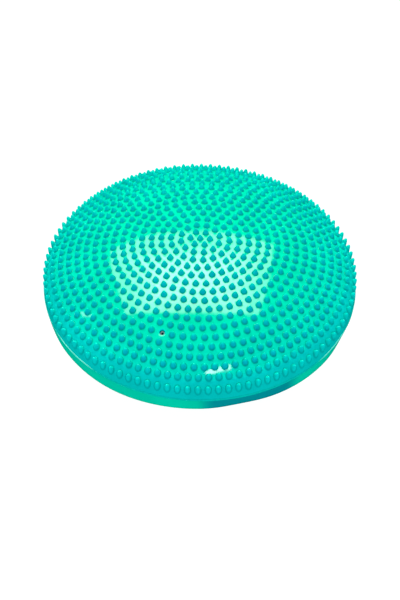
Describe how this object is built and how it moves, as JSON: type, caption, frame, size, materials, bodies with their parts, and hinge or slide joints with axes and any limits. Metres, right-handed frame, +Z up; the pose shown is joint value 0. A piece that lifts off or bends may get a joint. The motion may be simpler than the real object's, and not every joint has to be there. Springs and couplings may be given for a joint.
{
  "type": "balance pad",
  "caption": "Inflated round balance disc with a domed, nubbed top skin, an upright side band, a shallow underside with a flat foot, and a needle valve in the top.",
  "frame": {"origin": "centre of the flat foot, on the surface that the pad rests on", "axes": "+Z up along the pad's axis; -Y is the front, and the valve is on the dome left of the front"},
  "size_m": [0.3292, 0.3292, 0.0923],
  "materials": {
    "upper_skin": "glossy soft PVC, turquoise green",
    "lower_skin": "glossy soft PVC, turquoise green",
    "seam_bead": "satin soft PVC, paler turquoise",
    "valve_housing": "matte soft PVC, dark teal",
    "valve_core": "matte natural rubber, pale pinkish grey"
  },
  "bodies": {
    "root": {"upper_skin": "upper_skin", "lower_skin": "lower_skin", "seam_bead": "seam_bead", "valve_housing": "valve_housing", "valve_core": "valve_core"}
  },
  "joints": []
}
